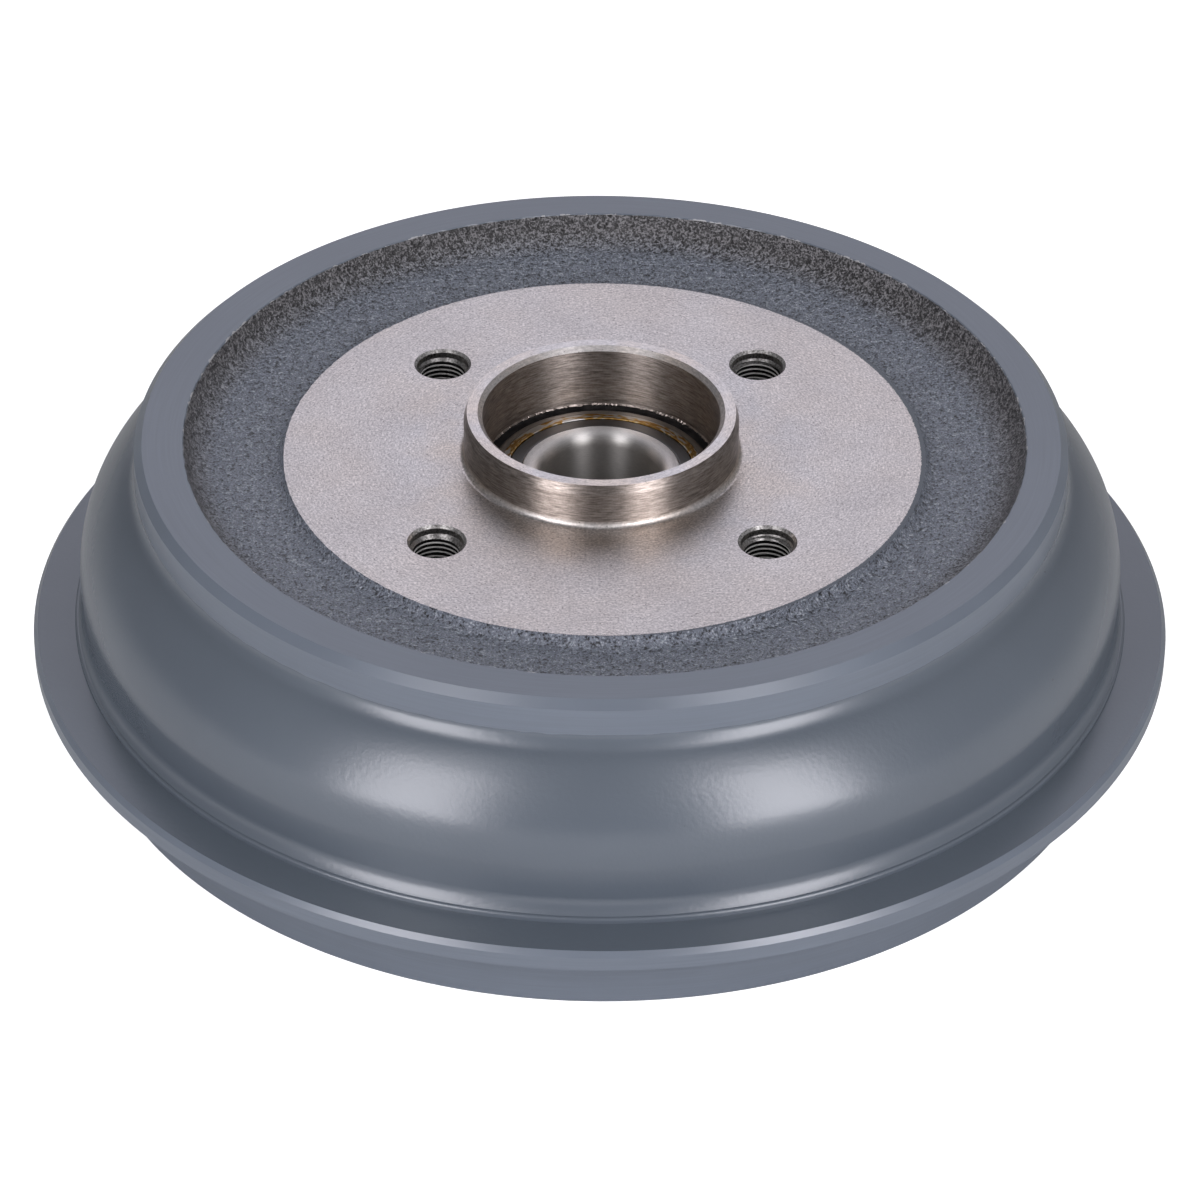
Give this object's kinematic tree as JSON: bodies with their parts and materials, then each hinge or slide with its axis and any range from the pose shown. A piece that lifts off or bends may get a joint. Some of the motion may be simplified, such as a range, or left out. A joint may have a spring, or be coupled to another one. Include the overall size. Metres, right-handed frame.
{
  "type": "brake drum",
  "caption": "Rear brake drum cast in one with its hub: stiffening flange, turned wheel face, spigot, threaded bolt holes and a pressed-in sealed wheel bearing.",
  "frame": {"origin": "on the drum's axis, in the plane of the wheel-mounting face", "axes": "+Z along the axis, outboard towards the wheel; +X between two wheel-bolt holes"},
  "size_m": [0.2724, 0.2724, 0.0784],
  "materials": {
    "coated_iron": "satin blue-grey coating, bare turned wheel face and spigot, sandy cast channel",
    "bearing_steel": "ground",
    "ball_steel": "polished",
    "cage_polyamide": "moulded",
    "seal_steel": "plated, with yellow-brown patches",
    "flinger_steel": "dark, scratched"
  },
  "bodies": {
    "drum": {"brake_drum": "coated_iron", "bearing_outer_ring": "bearing_steel", "outboard_seal_case": "seal_steel", "inboard_seal_case": "seal_steel"},
    "inner_rings": {"outboard_inner_ring": "bearing_steel", "inboard_inner_ring": "bearing_steel", "outboard_flinger": "flinger_steel", "inboard_flinger": "flinger_steel"},
    "outboard_ball_set": {"outboard_cage": "cage_polyamide", "outboard_ball_1": "ball_steel", "outboard_ball_2": "ball_steel", "outboard_ball_3": "ball_steel", "outboard_ball_4": "ball_steel", "outboard_ball_5": "ball_steel", "outboard_ball_6": "ball_steel", "outboard_ball_7": "ball_steel", "outboard_ball_8": "ball_steel", "outboard_ball_9": "ball_steel", "outboard_ball_10": "ball_steel", "outboard_ball_11": "ball_steel", "outboard_ball_12": "ball_steel"},
    "inboard_ball_set": {"inboard_cage": "cage_polyamide", "inboard_ball_1": "ball_steel", "inboard_ball_2": "ball_steel", "inboard_ball_3": "ball_steel", "inboard_ball_4": "ball_steel", "inboard_ball_5": "ball_steel", "inboard_ball_6": "ball_steel", "inboard_ball_7": "ball_steel", "inboard_ball_8": "ball_steel", "inboard_ball_9": "ball_steel", "inboard_ball_10": "ball_steel", "inboard_ball_11": "ball_steel", "inboard_ball_12": "ball_steel"}
  },
  "joints": [
    {"name": "bearing_spin", "type": "hinge", "parent": "drum", "child": "inner_rings", "pos_m": [0, 0, -0.0236], "axis": [0, 0, 1], "continuous": true},
    {"name": "outboard_cage_spin", "type": "hinge", "parent": "drum", "child": "outboard_ball_set", "pos_m": [0, 0, -0.0166], "axis": [0, 0, 1], "continuous": true},
    {"name": "inboard_cage_spin", "type": "hinge", "parent": "drum", "child": "inboard_ball_set", "pos_m": [0, 0, -0.0306], "axis": [0, 0, 1], "continuous": true}
  ],
  "couplings": [
    {"joint": "outboard_cage_spin", "follows": "bearing_spin", "ratio": 0.42},
    {"joint": "inboard_cage_spin", "follows": "bearing_spin", "ratio": 0.42}
  ]
}
